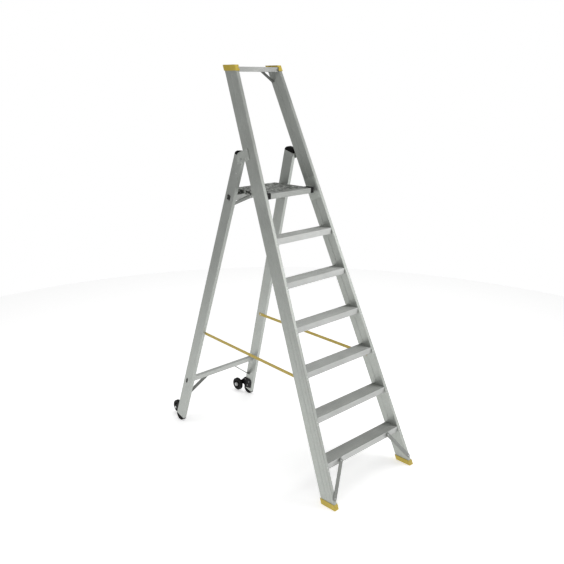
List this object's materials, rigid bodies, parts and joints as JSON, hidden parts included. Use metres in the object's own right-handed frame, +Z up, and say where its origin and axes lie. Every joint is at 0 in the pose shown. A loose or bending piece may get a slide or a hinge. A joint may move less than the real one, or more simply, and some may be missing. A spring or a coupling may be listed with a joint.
{
  "type": "mobile ladder stand",
  "caption": "Folding aluminium step ladder with a standing platform, a tall guard frame above it and a hinged rear frame on two small wheels.",
  "frame": {"origin": "bottom centre of the whole ladder, open, on the floor", "axes": "+X across the treads, -Y the side that is climbed, +Z up"},
  "size_m": [0.728, 1.6431, 2.405],
  "materials": {
    "aluminium": "mill finish extrusion, satin",
    "aluminium_bright": "mill finish, satin, lighter",
    "steel": "zinc plated",
    "black_steel": "black coating, satin",
    "black_plastic": "moulded, matt",
    "black_rubber": "moulded, matt",
    "tyre_rubber": "moulded, matt",
    "grey_plastic": "moulded, matt",
    "yellow_plastic": "moulded, satin",
    "webbing": "woven"
  },
  "bodies": {
    "front_frame": {"stile_left": "aluminium", "stile_right": "aluminium", "tread_1": "aluminium", "tread_2": "aluminium", "tread_3": "aluminium", "tread_4": "aluminium", "tread_5": "aluminium", "tread_6": "aluminium", "tread_brackets": "aluminium", "tread_rivets": "aluminium_bright", "top_bar": "aluminium_bright", "top_brace_left": "aluminium", "top_brace_right": "aluminium", "stile_cap_left": "yellow_plastic", "stile_cap_right": "yellow_plastic", "front_foot_left": "yellow_plastic", "front_foot_right": "yellow_plastic", "foot_brace_left": "aluminium", "foot_brace_right": "aluminium", "hinge_plate_left": "aluminium", "hinge_plate_right": "aluminium", "front_frame_rivets": "aluminium_bright", "hinge_bolt_left": "steel", "hinge_bolt_right": "steel", "platform_bracket_left": "aluminium", "platform_bracket_right": "aluminium", "platform_pin_left": "steel", "platform_pin_right": "steel", "strap_left": "webbing", "strap_right": "webbing"},
    "platform": {"platform_deck": "aluminium", "platform_nosing": "aluminium_bright", "platform_end_cap_left": "black_plastic", "platform_end_cap_right": "black_plastic"},
    "rear_frame": {"leg_left": "aluminium", "leg_right": "aluminium", "leg_cap_left": "black_rubber", "leg_cap_right": "black_rubber", "rear_foot_left": "black_rubber", "rear_foot_right": "black_rubber", "hinge_bushes": "steel", "upper_cross_tube": "aluminium", "lower_cross_tube": "aluminium", "upper_brace_left": "aluminium", "upper_brace_right": "aluminium", "lower_brace_left": "aluminium", "lower_brace_right": "aluminium", "rear_frame_rivets": "aluminium_bright", "wheel_bracket_left": "black_steel", "wheel_bracket_right": "black_steel", "axle_left": "steel", "axle_right": "steel"},
    "wheel_left": {"tyre_left": "tyre_rubber", "wheel_rim_left": "black_plastic", "wheel_hub_left": "grey_plastic"},
    "wheel_right": {"tyre_right": "tyre_rubber", "wheel_rim_right": "black_plastic", "wheel_hub_right": "grey_plastic"}
  },
  "joints": [
    {"name": "rear_fold", "type": "hinge", "parent": "front_frame", "child": "rear_frame", "pos_m": [0, 0.1004, 1.867], "axis": [1, 0, 0], "range_deg": [-39.5, 0], "deforming": ["strap_left", "strap_right"]},
    {"name": "deck_fold", "type": "hinge", "parent": "front_frame", "child": "platform", "pos_m": [0, -0.06539, 1.664], "axis": [1, 0, 0], "range_deg": [0, 67]},
    {"name": "wheel_left_spin", "type": "hinge", "parent": "rear_frame", "child": "wheel_left", "pos_m": [-0.28, 0.7751, 0.0573], "axis": [1, 0, 0], "continuous": true},
    {"name": "wheel_right_spin", "type": "hinge", "parent": "rear_frame", "child": "wheel_right", "pos_m": [0.28, 0.7751, 0.0573], "axis": [1, 0, 0], "continuous": true}
  ]
}
